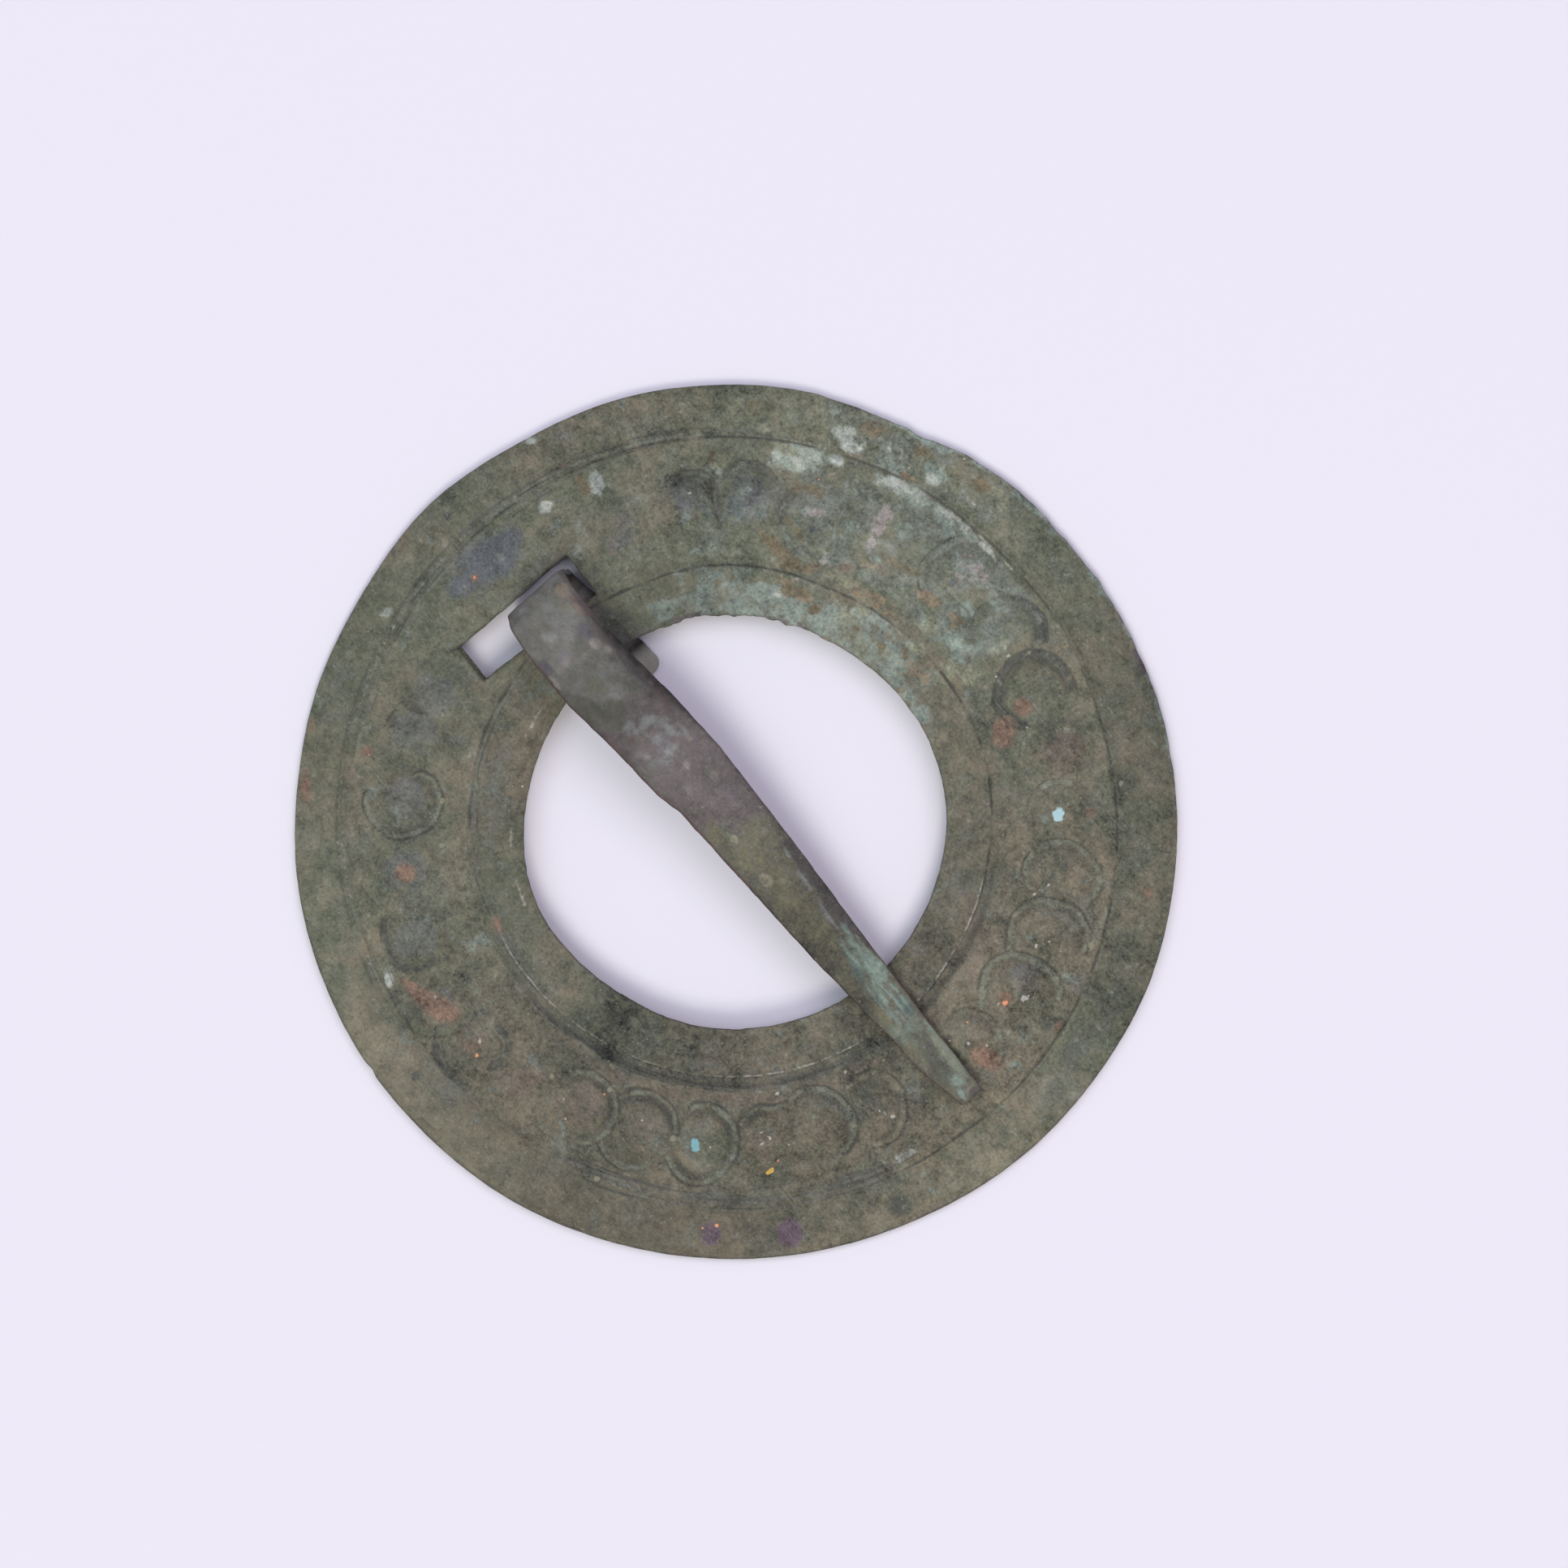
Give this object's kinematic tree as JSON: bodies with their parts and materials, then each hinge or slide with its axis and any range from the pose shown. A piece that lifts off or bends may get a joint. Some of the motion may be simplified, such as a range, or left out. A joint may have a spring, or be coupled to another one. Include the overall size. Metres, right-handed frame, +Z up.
{
  "type": "ring brooch",
  "caption": "Flat ring brooch of bronze with a row of punched bosses and stamped curls, and a strip pin looped through a slot beside the hole.",
  "frame": {"origin": "under the middle of the ring, on the plane that the brim's underside rests on", "axes": "+Z up out of the decorated face; +X along the pin from its hinge to its tip; +Y across the pin"},
  "size_m": [0.0501, 0.0499, 0.0049],
  "materials": {
    "ring_bronze": "matt olive-green and brown patina with pale green verdigris",
    "pin_bronze": "dull grey-brown patina with a turquoise bloom near the tip"
  },
  "bodies": {
    "ring": {"ring_plate": "ring_bronze"},
    "pin": {"pin": "pin_bronze"}
  },
  "joints": [
    {"name": "pin_swing", "type": "hinge", "parent": "ring", "child": "pin", "pos_m": [-0.0126, 0, 0.0023], "axis": [0, -1, 0], "range_deg": [0, 45]}
  ]
}
